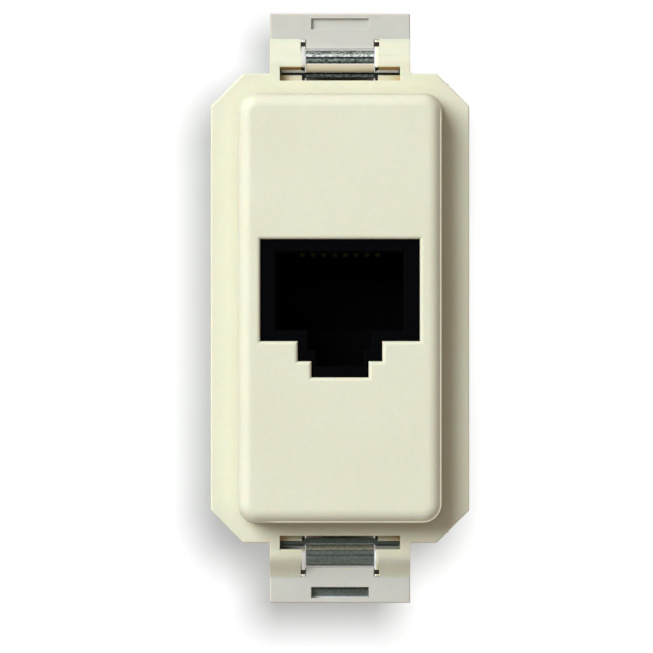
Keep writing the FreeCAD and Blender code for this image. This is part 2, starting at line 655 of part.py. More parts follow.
def make_clip_spring(end):
    """A strip bent to a hairpin: flat inner leg with two wings, round crest and an outer leg with a nose."""
    body = new_body("clip_spring_top" if end > 0 else "clip_spring_bottom")
    leg, far = dim.spring_leg, dim.spring_leg + dim.spring_open
    half, half_thick = dim.spring_width / 2, dim.spring_thick / 2
    crest = half_thick - dim.spring_crest
    path = [
        (dim.spring_foot, leg * end),
        (crest, leg * end, dim.spring_crest_bend),
        (crest, far * end, dim.spring_crest_bend),
        (dim.spring_flare, far * end, dim.spring_bend),
        (dim.spring_nose_depth, (leg + dim.spring_nose) * end, dim.spring_bend),
        (dim.spring_foot, (far - half_thick) * end),
    ]
    section = flipped(rectangle(-half, half, leg - half_thick, leg + half_thick), end)
    sweep(body, "strip", 0, path, FRONT, dim.spring_foot, section)
    tip, knee, under = dim.spring_wing / 2, dim.slot_middle / 2, leg - half_thick
    sag_half, rise, thick = knee - dim.wing_knee, under + dim.wing_rise, dim.wing_thick / 2
    right = [
        (sag_half, under - dim.wing_sag),
        (knee, rise - thick),
        (tip, rise - thick),
        (tip, rise + thick),
        (knee, rise + thick),
        (sag_half, under + dim.fit_gap),
    ]
    band = right + [(-across, up) for across, up in reversed(right)]
    front = y.flange_front + dim.slot_ledge_depth + dim.fit_gap
    extrude(body, FRONT, "wings", [flipped(band, end)], y.base_front, front)
    return body


def make_jack_shell():
    """Shell of the modular jack: snout in the opening, collar behind the face, body round the contacts."""
    body = new_body("jack_shell")
    half, roof, sole = dim.jack_half, dim.jack_roof, -dim.jack_sole
    collar_half = dim.face_width / 2 - dim.face_wall - dim.fit_gap * 2
    collar_rear = y.face_inside + dim.collar_depth
    collar = rectangle(-collar_half, collar_half, sole, dim.jack_sole)
    extrude(body, FRONT, "collar", [collar], y.face_inside, collar_rear)
    extrude(body, FRONT, "snout", [stepped(dim.fit_gap)], y.face_inside + dim.weld, y.mouth_front)
    extrude(body, FRONT, "shell", [rectangle(-half, half, sole, roof)], collar_rear, dim.jack_rear)
    cut_plug_mouth(body)
    block_half, block_roof = dim.block_width / 2 + dim.fit_gap / 2, roof - dim.jack_skin
    slot_front = -dim.contact_front - dim.contact_wire - dim.fit_gap
    wire_slot = rectangle(-block_half, block_half, dim.mouth_top - dim.weld, block_roof)
    extrude(body, FRONT, "block_slot", [wire_slot], slot_front, dim.jack_rear, cut=True)
    seat = rectangle(-block_half, block_half, block_foot() - dim.fit_gap / 2, block_roof)
    extrude(body, FRONT, "block_seat", [seat], dim.mouth_rear - dim.weld, dim.jack_rear, cut=True)
    tail_room = rectangle(-block_half, block_half, block_roof - dim.weld, roof + dim.weld)
    extrude(body, FRONT, "tail_room", [tail_room], dim.tail_rise - dim.contact_wire, dim.jack_rear, cut=True)
    pegs = [peg_place(side, dim.peg_diameter) for side in SIDES]
    extrude(body, FRONT, "board_pegs", pegs, dim.jack_rear - dim.weld, y.board_rear + dim.weld)
    return body


def cut_plug_mouth(body):
    """The mouth for the plug with its two steps, a lead-in all round and a wider room behind the latch."""
    mouth, key = dim.mouth_width / 2, dim.key_width / 2 - dim.jack_wall
    latch = dim.latch_width / 2 - dim.jack_wall / 2
    floor, key_floor = -dim.mouth_floor, -dim.key_floor + dim.jack_wall
    latch_floor = -dim.latch_floor + dim.jack_wall
    left = [(-mouth, dim.mouth_top), (-mouth, floor), (-key, floor), (-key, key_floor), (-latch, key_floor)]
    left.append((-latch, latch_floor))
    outline = left + [(-across, up) for across, up in reversed(left)]
    rim = Part.makeCompound([edge for edge in body.Shape.Edges if in_plane(edge, "Y", y.mouth_front)])
    extrude(body, FRONT, "plug_mouth", [outline], y.mouth_front, dim.latch_room_rear, cut=True)
    blend(body, "lead_in", dim.mouth_lead,
          lambda e: in_plane(e, "Y", y.mouth_front) and e.distToShape(rim)[0] > TOUCH, chamfer=True)
    room = rectangle(-mouth, mouth, floor, dim.mouth_top)
    extrude(body, FRONT, "plug_room", [room], dim.latch_room_rear - dim.weld, dim.mouth_rear, cut=True)
    latch_room = rectangle(-key, key, latch_floor, key_floor + dim.weld)
    extrude(body, FRONT, "latch_room", [latch_room], y.mouth_front + dim.latch_room_front,
            dim.latch_room_rear, cut=True)


def peg_place(side, diameter):
    return (side * (dim.jack_half - dim.peg_diameter), -dim.jack_sole + dim.peg_diameter * 2, diameter)


def contact_places():
    return [dim.contact_pitch * (index - (CONTACTS - 1) / 2) for index in range(CONTACTS)]


def block_foot():
    return -dim.mouth_floor + dim.weld


def make_contact_block():
    """An angle: a tongue over the plug with a groove for each wire, and a leg that closes the jack."""
    body = new_body("contact_block")
    half = dim.block_width / 2
    top, under = dim.jack_roof - dim.jack_skin - dim.fit_gap / 2, dim.mouth_top + dim.fit_gap
    front = -dim.contact_front + dim.contact_wire + dim.fit_gap
    angle = [
        (front, under),
        (dim.mouth_rear, under),
        (dim.mouth_rear, block_foot()),
        (dim.jack_rear, block_foot()),
        (dim.jack_rear, top),
        (front, top),
    ]
    extrude(body, SIDE, "angle", [angle], -half, half)
    groove_half = dim.contact_wire / 2 + dim.fit_gap / 4
    bottom = dim.contact_run - dim.contact_thick / 2
    grooves = [rectangle(middle - groove_half, middle + groove_half, bottom, top + dim.weld)
               for middle in contact_places()]
    extrude(body, FRONT, "wire_grooves", grooves, front - dim.weld, dim.jack_rear + dim.weld, cut=True)
    return body


def make_contact(index, middle):
    """A spring wire: tail in the board, run along the block, turn down and slope back into the mouth."""
    body = new_body(f"contact_{index + 1}")
    raised = index % 2 == 1
    run, bend, tail = dim.contact_run, dim.contact_bend, y.board_rear + dim.tail_out
    level = dim.tail_row if raised else run
    path = [(tail, level)]
    if raised:
        path += [(dim.jack_rear - dim.weld, level, bend), (dim.tail_rise, run, bend)]
    path += [
        (-dim.contact_front, run, bend),
        (-dim.contact_front, dim.contact_drop, bend),
        (dim.contact_tip_depth, dim.contact_tip),
    ]
    half, rise = dim.contact_wire / 2, dim.contact_thick / 2
    section = rectangle(middle - half, middle + half, level - rise, level + rise)
    sweep(body, "wire", middle, path, FRONT, tail, section)
    return body


def make_circuit_board():
    body = new_body("circuit_board")
    outline = [(*corner, dim.housing_edge) for corner in centred(dim.board_width, dim.board_height)]
    wire, tail = (dim.contact_wire + dim.hole_play) / 2, (dim.tail_width + dim.hole_play) / 2
    places = [(middle, dim.tail_row if index % 2 else dim.contact_run, wire)
              for index, middle in enumerate(contact_places())]
    places += [(side * tail_place(), level, tail) for level in terminal_rows() for side in SIDES]
    punched = [rectangle(across - half, across + half, up - half, up + half) for across, up, half in places]
    pegs = [peg_place(side, dim.peg_diameter + dim.hole_play) for side in SIDES]
    extrude(body, FRONT, "board", [outline] + punched + pegs, dim.jack_rear, y.board_rear)
    return body


def make_terminal(index, side, level):
    """A brass plate with a tapped hole and a tail bent down from its inner edge to the board."""
    body = new_body(f"terminal_{index + 1}")
    middle, half, rise = side * dim.terminal_column, dim.plate_width / 2, dim.plate_height / 2
    plate = rectangle(middle - half, middle + half, level - rise, level + rise)
    tapped = (middle, level, dim.screw_thread + dim.fit_gap)
    extrude(body, FRONT, "plate", [plate, tapped], y.back, y.plate_rear)
    inner, tip = side * (dim.terminal_column - half), dim.jack_rear - dim.tail_out / 2
    strip = [
        (inner, y.plate_rear),
        (inner + dim.tail_thick * side, y.plate_rear),
        (inner + dim.tail_thick * side, tip),
        (inner, tip),
    ]
    extrude(body, TOP, "tail", [strip], level - dim.tail_width / 2, level + dim.tail_width / 2)
    blend(body, "bend", dim.tail_thick / 2,
          lambda e: in_plane(e, "X", inner) and in_plane(e, "Y", y.plate_rear))
    return body


def make_clamp_washers():
    """Square washers with two edges turned up, one on each terminal plate."""
    body = new_body("clamp_washers")
    half, lip = dim.washer_side / 2, dim.washer_lip
    squares, lips = [], []
    for level in terminal_rows():
        for side in SIDES:
            middle = side * dim.terminal_column
            squares.append(rectangle(middle - half, middle + half, level - half, level + half))
            squares.append((middle, level, dim.screw_thread + dim.hole_play))
            lips.append(rectangle(middle - half, middle - half + lip, level - half, level + half))
            lips.append(rectangle(middle + half - lip, middle + half, level - half, level + half))
    extrude(body, FRONT, "plates", squares, y.plate_rear, y.washer_rear)
    extrude(body, FRONT, "lips", lips, y.washer_rear - lip, y.washer_rear + dim.washer_thick)
    return body


def make_terminal_screws():
    """Slotted cheese-head screws, one in each terminal plate."""
    body = new_body("terminal_screws")
    head_rear, slot_half = y.washer_rear + dim.screw_head_rise, dim.screw_slot / 2
    slot_reach = dim.screw_head / 2 + dim.fit_gap
    heads, shanks, slots = [], [], []
    for level in terminal_rows():
        for side in SIDES:
            middle = side * dim.terminal_column
            heads.append((middle, level, dim.screw_head))
            shanks.append((middle, level, dim.screw_thread))
            low, high = level - slot_reach, level + slot_reach
            slots.append(rectangle(middle - slot_half, middle + slot_half, low, high))
    extrude(body, FRONT, "heads", heads, y.washer_rear, head_rear)
    extrude(body, FRONT, "shanks", shanks, y.washer_rear + dim.weld, y.washer_rear - dim.screw_length)
    extrude(body, FRONT, "driver_slots", slots, head_rear, head_rear - dim.screw_slot_depth, cut=True)
    return body


def make_pieces():
    pieces = [make_front_frame(), make_rear_housing()]
    pieces += [make_clip_spring(end) for end in ENDS]
    pieces += [make_jack_shell(), make_contact_block()]
    pieces += [make_contact(index, middle) for index, middle in enumerate(contact_places())]
    pieces.append(make_circuit_board())
    corners = [(side, level) for level in terminal_rows() for side in SIDES]
    pieces += [make_terminal(index, side, level) for index, (side, level) in enumerate(corners)]
    pieces += [make_clamp_washers(), make_terminal_screws()]
    return pieces


def check_and_write(pieces):
    doc.recompute()
    for thing in doc.Objects:
        if "Invalid" in thing.State or "Error" in thing.State:
            raise RuntimeError(f"{thing.Label}: {thing.State}")
    for piece in pieces:
        if piece.Shape.isNull() or not piece.Shape.isValid() or not piece.Shape.Solids:
            raise RuntimeError(f"{piece.Label} has no valid solid")
    os.makedirs("parts", exist_ok=True)
    for piece in pieces:
        piece.Shape.exportStep(f"parts/{piece.Label}.step")
        print(piece.Label, len(piece.Shape.Solids), "solids", round(piece.Shape.Volume, 2), "mm3")


dim = fill_sheet()
y = planes()
check_and_write(make_pieces())
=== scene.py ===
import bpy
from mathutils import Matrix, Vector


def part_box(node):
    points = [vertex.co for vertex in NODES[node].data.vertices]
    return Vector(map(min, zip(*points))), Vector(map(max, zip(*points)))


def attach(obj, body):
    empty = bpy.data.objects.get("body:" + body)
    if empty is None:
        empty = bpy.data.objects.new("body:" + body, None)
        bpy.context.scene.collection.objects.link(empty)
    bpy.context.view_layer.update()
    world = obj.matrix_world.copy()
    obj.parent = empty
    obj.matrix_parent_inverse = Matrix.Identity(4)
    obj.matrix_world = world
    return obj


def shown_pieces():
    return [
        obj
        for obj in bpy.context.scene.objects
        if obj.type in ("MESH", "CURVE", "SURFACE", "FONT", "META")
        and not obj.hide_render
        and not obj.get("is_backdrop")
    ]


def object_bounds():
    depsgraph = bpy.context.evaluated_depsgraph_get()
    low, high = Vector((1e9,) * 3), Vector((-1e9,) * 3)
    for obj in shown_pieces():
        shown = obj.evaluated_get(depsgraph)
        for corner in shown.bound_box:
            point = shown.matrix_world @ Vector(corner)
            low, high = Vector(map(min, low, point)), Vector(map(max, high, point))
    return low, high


bl_info = {
    "name": "Telephone Socket Insert",
    "version": (1, 0, 0),
    "blender": (4, 5, 0),
    "location": "View3D > Sidebar > Socket",
    "description": "Dresses the packed telephone socket insert and sets up its studio",
    "category": "Object",
}

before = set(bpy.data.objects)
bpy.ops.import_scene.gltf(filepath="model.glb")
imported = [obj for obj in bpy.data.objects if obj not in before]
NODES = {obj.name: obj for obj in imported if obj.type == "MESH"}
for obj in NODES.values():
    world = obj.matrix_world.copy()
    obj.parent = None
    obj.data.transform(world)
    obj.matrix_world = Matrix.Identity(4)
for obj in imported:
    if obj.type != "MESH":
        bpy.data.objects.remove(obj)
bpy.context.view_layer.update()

import math

import bmesh
import bpy
import numpy as np
from mathutils import Matrix, Vector

CONTACTS = [f"contact_{n}" for n in range(1, 9)]
TERMINALS = [f"terminal_{n}" for n in range(1, 9)]
SPRINGS = ["clip_spring_top", "clip_spring_bottom"]
SIDES = ((1, "right"), (-1, "left"))
ENDS = ((1, "upper"), (-1, "lower"))
WHITE = (1.0, 1.0, 1.0)
PICTURE_WIDTH = 653  # pixels

# Places of a Mix node's sockets, because each kind of data has sockets with the same names
FACTOR, VALUE_A, VALUE_B, COLOUR_A, COLOUR_B = 0, 2, 3, 6, 7
VALUE_OUT, COLOUR_OUT = 0, 2


def mm(size):
    """Millimetres in metres."""
    return size / 1000


def per_mm(size):
    """Scale of a pattern on object coordinates whose grains are this many millimetres across."""
    return 1000 / size


def linear(code):
    """An sRGB hex colour in linear light."""
    parts = np.array([int(code[i:i + 2], 16) for i in (1, 3, 5)]) / 255
    return tuple(np.where(parts <= 0.04045, parts / 12.92, ((parts + 0.055) / 1.055) ** 2.4).tolist())


def darker(tone, share):
    """A share of a linear colour."""
    return tuple(share * part for part in tone)


def between(first, second):
    """The colour halfway between two linear colours."""
    return tuple(np.add(first, second) / 2)


def colour(label, meaning, code):
    """A colour that a user can change, given as sRGB hex."""
    return bpy.props.FloatVectorProperty(
        name=label, description=meaning, subtype="COLOR", size=3, min=0, max=1, default=linear(code))


def length(label, meaning, size):
    """A length that a user can change, given in millimetres."""
    return bpy.props.FloatProperty(
        name=label, description=meaning, unit="LENGTH", default=mm(size), min=0)


def number(label, meaning, value):
    """A plain number that a user can change."""
    return bpy.props.FloatProperty(name=label, description=meaning, default=value, min=0)


class SocketColours(bpy.types.PropertyGroup):
    """Colours of the socket's materials."""
    ivory: colour("Ivory", "Front frame", "#E1DFC5")
    ivory_warm: colour("Warm ivory", "Darker cloud in the front frame's colour", "#DEDBBF")
    # Painted shade: the colour that recesses and the feet of walls are darkened towards
    ivory_aged: colour("Crease shade", "What the front frame's recesses are tinted with", "#BC9154")
    # Painted shade: the brown of the lips in the upper slots
    ivory_lip: colour("Lip shade ivory", "Lips in the front frame's upper slots", "#A87F45")
    # Painted highlight: the white of the glowing stretches beside the clip springs
    ivory_rubbed: colour("Highlight ivory", "Front frame where the clip springs rub on it", "#F9F9F6")
    grey: colour("Light grey", "Rear housing", "#CCC9BD")
    grey_dark: colour("Dark grey", "Darker cloud in the rear housing's colour", "#C5C2B6")
    # Painted highlight on the upper spring's crest
    steel: colour("Crest highlight", "Worn line on a clip spring's crest", "#EDEFEA")
    # Painted reflection of the ivory on a spring's flank
    steel_warm: colour("Flank reflection", "Smooth flank of a clip spring", "#EDE2CC")
    # Painted highlight at the foot of a spring's flank
    steel_pale: colour("Flank highlight", "Foot of a clip spring's flank", "#FCF4E4")
    steel_dull: colour("Rolled steel", "Rolled face of a clip spring", "#A3ABA2")
    # Painted shade and painted shadow lines on the springs, and on their faces that turn sideways
    steel_dark: colour("Steel shade", "Sheared edges and oiled bands of the clip springs", "#30332F")
    black: colour("Black", "Jack shell and contact block", "#040405")
    contact: colour("Contact plating", "Contact wires", "#352C1B")
    brass: colour("Brass", "Terminal plates", "#C9A659")
    zinc: colour("Zinc plating", "Screws and washers", "#C9C9C2")
    board: colour("Board green", "Solder mask of the circuit board", "#2C5A3C")


class SocketSizes(bpy.types.PropertyGroup):
    """Sizes of the finishes and of the small moulded details."""
    plastic_edge: length("Plastic edges", "Rounding of the mouldings' sharp edges", 0.12)
    spark_grain: length("Spark grain", "Grain of the spark-eroded mould", 0.3)
    # The bead's glow is painted light
    flash: length("Glow bead", "Radius of the moulding flash at the foot of the face's rounding", 0.1)
    steel_streak: length("Steel streaks", "Width of the rolled streaks on the springs", 0.16)
    spring_half: length("Half spring", "Half of a spring strip's width", 3.225)
    number_height: length("Numbers", "Height of the terminal numbers", 1.7)
    number_rise: length("Number rise", "How far the terminal numbers stand out", 0.15)


class SocketStudio(bpy.types.PropertyGroup):
    """Camera, lamps and backdrop."""
    lens: length("Lens", "Focal length of the camera", 1000)
    pixel: length("Pixel", "What one pixel of the picture covers at the flange", 0.0948)
    key_level: number("Key level", "Light of the key lamp on a surface that faces the camera", 0.97)
    key_tint: colour("Key tint", "Colour of the key lamp", "#EEF6FE")
    ambient: colour("Ambient", "Light from all round", "#999190")
    backdrop_level: number("Backdrop level", "Light of the backdrop's own lamp", 0.73)
    backdrop_tint: colour("Backdrop tint", "Colour of the backdrop's own lamp", "#FFF2F0")
    card: colour("Card", "Colour of the backdrop's card", "#EDFAFC")


def add(tree, kind, settings=None, links=None, stops=()):
    """Adds a node to a tree.

    Sets the node's own properties and a ramp's stops, and sets or links its inputs by name or place.
    """
    node = tree.nodes.new(kind)
    if stops:
        marks = node.color_ramp.elements
        marks.remove(marks[-1])
        for count, (at, tone) in enumerate(stops):
            mark = marks.new(at) if count else marks[0]
            mark.position, mark.color = at, (*tone, 1)
    for name, value in (settings or {}).items():
        setattr(node, name, value)
    for name, value in (links or {}).items():
        if isinstance(value, bpy.types.NodeSocket):
            tree.links.new(value, node.inputs[name])
        elif isinstance(value, tuple) and len(value) == 3 and node.inputs[name].type == "RGBA":
            node.inputs[name].default_value = (*value, 1)
        else:
            node.inputs[name].default_value = value
    return node


def new_material(name):
    """An empty node material and its tree."""
    made = bpy.data.materials.new(name)
    made.use_nodes = True
    made.node_tree.nodes.clear()
    return made, made.node_tree


def shade(tree, links):
    """Ends a material in one surface shader."""
    shader = add(tree, "ShaderNodeBsdfPrincipled", links=links)
    add(tree, "ShaderNodeOutputMaterial", links={"Surface": shader.outputs["BSDF"]})


def dusty(tree, paint, shade_tone):
    """Paints shade into a colour: deep where walls stand close round a place, a faint grey farther out."""
    reach, warm, faint = mm(1.4), linear("#F9EAD0"), linear("#F2F0F0")
    openness = add(tree, "ShaderNodeAmbientOcclusion", {"samples": 8}, {"Distance": reach})
    tint = add(tree, "ShaderNodeValToRGB", links={"Fac": openness.outputs["AO"]}, stops=(
        (0.15, shade_tone), (0.38, warm), (0.5, faint), (0.9, WHITE)))
    return add(tree, "ShaderNodeVectorMath", {"operation": "MULTIPLY"}, {
        0: paint, 1: tint.outputs["Color"]}).outputs["Vector"]


def rubbed_share(tree, place, half, start):
    """How far a painted highlight covers the plastic: all inside a half width and beyond a start along Z,
    with soft ends.

    The painted highlight lies a little to the left of the middle.
    """
    left, side_fade, start_fade = mm(0.1), mm(0.05), mm(0.2)
    parts = add(tree, "ShaderNodeSeparateXYZ", links={0: place}).outputs
    shifted = add(tree, "ShaderNodeMath", {"operation": "ADD"}, {0: parts["X"], 1: left})
    across = add(tree, "ShaderNodeMath", {"operation": "ABSOLUTE"}, {0: shifted.outputs["Value"]})
    reach = add(tree, "ShaderNodeMath", {"operation": "ABSOLUTE"}, {0: parts["Z"]})
    inside = add(tree, "ShaderNodeMapRange", links={
        "Value": across.outputs["Value"], "From Min": half + side_fade, "From Max": half})
    beyond = add(tree, "ShaderNodeMapRange", links={
        "Value": reach.outputs["Value"], "From Min": start, "From Max": start + start_fade})
    return add(tree, "ShaderNodeMath", {"operation": "MULTIPLY"}, {
        0: inside.outputs["Result"], 1: beyond.outputs["Result"]}).outputs["Value"]


def moulded_plastic(name, light, dark, *, edge, grain, roughness, specular, relief, glow=0.0, painted_glow=0.0,
                    crease_shade=None, painted_highlight=None):
    """Injection-moulded plastic.

    The eye sees an even colour with faint clouds and specks, a spark-eroded grain that only breaks up
    the reflections, and edges that are never quite sharp. The real grain is finer than the one drawn,
    and the IOR is typical of ABS.
    Pale plastic lets some light in, which comes out again warmer in its shadows and slots: that is the
    glow.
    The shine is emission: painted light that keeps the plastic bright in its shade. The crease colour is
    painted shade: recesses, creases and the feet of walls are darkened and tinted towards it, the more
    the closer walls stand round them. A painted highlight paints a stretch white and lets only that
    stretch shine: it gives the half width, the start along Z and the white.
    """
    cloud, speck, grain_depth = per_mm(9.0), per_mm(0.5), mm(0.02)
    made, tree = new_material(name)
    place = add(tree, "ShaderNodeTexCoord").outputs["Object"]
    clouds = add(tree, "ShaderNodeTexNoise", links={"Vector": place, "Scale": cloud, "Detail": 3.0})
    specks = add(tree, "ShaderNodeTexNoise", links={"Vector": place, "Scale": speck, "Detail": 2.0})
    cloudy = add(tree, "ShaderNodeMapRange", links={
        "Value": clouds.outputs["Fac"], "From Min": 0.42, "From Max": 0.72})
    tint = add(tree, "ShaderNodeMix", {"data_type": "RGBA"}, {
        FACTOR: cloudy.outputs["Result"], COLOUR_A: light, COLOUR_B: dark})
    speckled = add(tree, "ShaderNodeMapRange", links={
        "Value": specks.outputs["Fac"], "From Min": 0.3, "From Max": 0.7, "To Min": 0.985, "To Max": 1.01})
    paint = add(tree, "ShaderNodeVectorMath", {"operation": "SCALE"}, {
        0: tint.outputs[COLOUR_OUT], "Scale": speckled.outputs["Result"]}).outputs["Vector"]
    # Painted shade in recesses, creases and at the feet of walls
    if crease_shade:
        paint = dusty(tree, paint, crease_shade)
    if painted_highlight:
        # The stretch is painted white and glows: a painted highlight
        half, start, white = painted_highlight
        highlit = rubbed_share(tree, place, half, start)
        paint = add(tree, "ShaderNodeMix", {"data_type": "RGBA"}, {
            FACTOR: highlit, COLOUR_A: paint, COLOUR_B: white}).outputs[COLOUR_OUT]
        painted_glow = add(tree, "ShaderNodeMath", {"operation": "MULTIPLY"}, {
            0: highlit, 1: painted_glow}).outputs["Value"]
    grains = add(tree, "ShaderNodeTexNoise", links={
        "Vector": place, "Scale": 1 / grain, "Detail": 4.0, "Roughness": 0.6})
    sheen = add(tree, "ShaderNodeMapRange", links={
        "Value": clouds.outputs["Fac"], "From Min": 0.3, "From Max": 0.7,
        "To Min": roughness - 0.04, "To Max": roughness + 0.05})
    rounded = add(tree, "ShaderNodeBevel", {"samples": 6}, {"Radius": edge})
    bump = add(tree, "ShaderNodeBump", links={
        "Strength": relief, "Distance": grain_depth, "Height": grains.outputs["Fac"],
        "Normal": rounded.outputs["Normal"]})
    shade(tree, {
        "Base Color": paint, "Roughness": sheen.outputs["Result"], "IOR": 1.53,
        "Emission Color": paint, "Emission Strength": painted_glow, "Specular IOR Level": specular,
        "Normal": bump.outputs["Normal"], "Subsurface Weight": 0.35 if glow else 0.0,
        "Subsurface Radius": (1.0, 0.45, 0.2), "Subsurface Scale": glow})
    return made


def banded(tree, distance, bands, column):
    """Colours or shares from one column of a table, by a distance in metres. The table gives it in mm."""
    near, far = bands[0][0], bands[-1][0]
    step = add(tree, "ShaderNodeMapRange", links={
        "Value": distance, "From Min": mm(near), "From Max": mm(far)})
    stops = [((band[0] - near) / (far - near), np.broadcast_to(band[column], 3)) for band in bands]
    ramp = add(tree, "ShaderNodeValToRGB", links={"Fac": step.outputs["Result"]}, stops=stops)
    return ramp.outputs["Color"]


def rolled_spring_steel(name, bands, wings, *, edge, strip_half, streak, sparkle):
    """Cold-rolled spring strip, bent to a hairpin, with sheared edges.

    The bands across the strip follow its bend and are painted light: painted shadow in the slot, a painted
    reflection of the ivory on the even, coated flank, painted highlights at the flank's foot and in a line
    on the crest that glitters, and painted shade on the dull rolled streaks. The wings at the strip's
    sides have bands of their own, painted in the same way, and faces that turn sideways are painted dark,
    as painted shade. The real streaks are finer than those drawn.
    """
    streak_run, streak_depth, wing_start = per_mm(0.3), mm(0.02), strip_half + mm(0.02)
    made, tree = new_material(name)
    place = add(tree, "ShaderNodeTexCoord").outputs["Object"]
    along = add(tree, "ShaderNodeMapping", links={
        "Vector": place, "Scale": (streak_run, 1 / streak, 1 / streak)})
    fine = add(tree, "ShaderNodeTexNoise", links={
        "Vector": along.outputs["Vector"], "Scale": 1.0, "Detail": 3.0, "Roughness": 0.6})
    parts = add(tree, "ShaderNodeSeparateXYZ", links={0: place}).outputs
    across = add(tree, "ShaderNodeMath", {"operation": "ABSOLUTE"}, {0: parts["X"]}).outputs["Value"]
    reach = add(tree, "ShaderNodeMath", {"operation": "ABSOLUTE"}, {0: parts["Z"]}).outputs["Value"]
    zone, even = banded(tree, reach, bands, 1), banded(tree, reach, bands, 2)
    wing = banded(tree, reach, wings, 1)
    level = add(tree, "ShaderNodeMapRange", links={
        "Value": fine.outputs["Fac"], "From Min": 0.4, "From Max": 0.6,
        "To Min": 1 - sparkle, "To Max": 1 + sparkle})
    uneven = add(tree, "ShaderNodeMix", links={
        FACTOR: even, VALUE_A: level.outputs["Result"], VALUE_B: 1.0})
    streaked = add(tree, "ShaderNodeVectorMath", {"operation": "SCALE"}, {
        0: zone, "Scale": uneven.outputs[VALUE_OUT]})
    on_wing = add(tree, "ShaderNodeMath", {"operation": "GREATER_THAN"}, {0: across, 1: wing_start})
    winged = add(tree, "ShaderNodeMix", {"data_type": "RGBA"}, {
        FACTOR: on_wing.outputs["Value"], COLOUR_A: streaked.outputs["Vector"], COLOUR_B: wing})
    # Faces that turn sideways are painted dark: painted shade
    normal = add(tree, "ShaderNodeNewGeometry").outputs["True Normal"]
    sideways = add(tree, "ShaderNodeMath", {"operation": "ABSOLUTE"}, {
        0: add(tree, "ShaderNodeSeparateXYZ", links={0: normal}).outputs["X"]})
    turned_aside = add(tree, "ShaderNodeMath", {"operation": "GREATER_THAN"}, {
        0: sideways.outputs["Value"], 1: 0.7})
    paint = add(tree, "ShaderNodeMix", {"data_type": "RGBA"}, {
        FACTOR: turned_aside.outputs["Value"], COLOUR_A: winged.outputs[COLOUR_OUT], COLOUR_B: edge})
    rough = add(tree, "ShaderNodeMapRange", links={"Value": even, "To Min": 0.34, "To Max": 0.5})
    bare = add(tree, "ShaderNodeMapRange", links={"Value": even, "To Min": 1.0, "To Max": 0.45})
    relief = add(tree, "ShaderNodeMapRange", links={"Value": even, "To Min": 0.35, "To Max": 0.02})
    bump = add(tree, "ShaderNodeBump", links={
        "Strength": relief.outputs["Result"], "Distance": streak_depth, "Height": fine.outputs["Fac"]})
    shade(tree, {
        "Base Color": paint.outputs[COLOUR_OUT], "Metallic": bare.outputs["Result"],
        "Roughness": rough.outputs["Result"], "Normal": bump.outputs["Normal"]})
    return made


def lathe_rings(tree, place, pitch, axes):
    """Height of the rings that the lathe left round the screws' axes.

    The height is the sine of the distance from the nearest axis. Absolute values fold the eight axes onto
    one: axes gives their distance from the middle across, and the two distances along Z.
    """
    across, near, far = axes
    folded = add(tree, "ShaderNodeVectorMath", {"operation": "ABSOLUTE"}, {0: place})
    shifted = add(tree, "ShaderNodeVectorMath", {"operation": "SUBTRACT"}, {
        0: folded.outputs["Vector"], 1: (across, 0.0, (near + far) / 2)})
    again = add(tree, "ShaderNodeVectorMath", {"operation": "ABSOLUTE"}, {0: shifted.outputs["Vector"]})
    centred = add(tree, "ShaderNodeVectorMath", {"operation": "SUBTRACT"}, {
        0: again.outputs["Vector"], 1: (0.0, 0.0, (far - near) / 2)})
    flat = add(tree, "ShaderNodeVectorMath", {"operation": "MULTIPLY"}, {
        0: centred.outputs["Vector"], 1: (1.0, 0.0, 1.0)})
    radius = add(tree, "ShaderNodeVectorMath", {"operation": "LENGTH"}, {0: flat.outputs["Vector"]})
    turns = add(tree, "ShaderNodeMath", {"operation": "MULTIPLY"}, {
        0: radius.outputs["Value"], 1: 2 * math.pi / pitch})
    return add(tree, "ShaderNodeMath", {"operation": "SINE"}, {0: turns.outputs["Value"]}).outputs["Value"]


def plated_metal(name, tone, *, grain, roughness, relief, turned=None):
    """Stamped, drawn or turned metal with a thin plating.

    The eye sees a soft metal gleam, slightly uneven in tone, with fine drawing lines, or with the rings
    that the lathe left round a screw's axis. The real lines and rings are finer than those drawn.
    """
    line_run, blotch, line_depth = per_mm(1.5), per_mm(1.6), mm(0.01)
    made, tree = new_material(name)
    place = add(tree, "ShaderNodeTexCoord").outputs["Object"]
    drawn = add(tree, "ShaderNodeMapping", links={
        "Vector": place, "Scale": (1 / grain, line_run, 1 / grain)})
    lines = add(tree, "ShaderNodeTexNoise", links={
        "Vector": drawn.outputs["Vector"], "Scale": 1.0, "Detail": 4.0})
    height = lathe_rings(tree, place, grain, turned) if turned else lines.outputs["Fac"]
    blotches = add(tree, "ShaderNodeTexNoise", links={"Vector": place, "Scale": blotch, "Detail": 3.0})
    level = add(tree, "ShaderNodeMapRange", links={
        "Value": blotches.outputs["Fac"], "From Min": 0.3, "From Max": 0.7, "To Min": 0.78, "To Max": 1.05})
    paint = add(tree, "ShaderNodeVectorMath", {"operation": "SCALE"}, {
        0: tone, "Scale": level.outputs["Result"]})
    rough = add(tree, "ShaderNodeMapRange", links={
        "Value": lines.outputs["Fac"], "From Min": 0.3, "From Max": 0.7,
        "To Min": roughness - 0.08, "To Max": roughness + 0.1})
    bump = add(tree, "ShaderNodeBump", links={
        "Strength": relief, "Distance": line_depth, "Height": height})
    shade(tree, {
        "Base Color": paint.outputs["Vector"], "Metallic": 1.0, "Roughness": rough.outputs["Result"],
        "Normal": bump.outputs["Normal"]})
    return made


def dress(names, made):
    """Gives CAD nodes a material."""
    for name in names:
        for slot in NODES[name].material_slots:
            slot.material = made


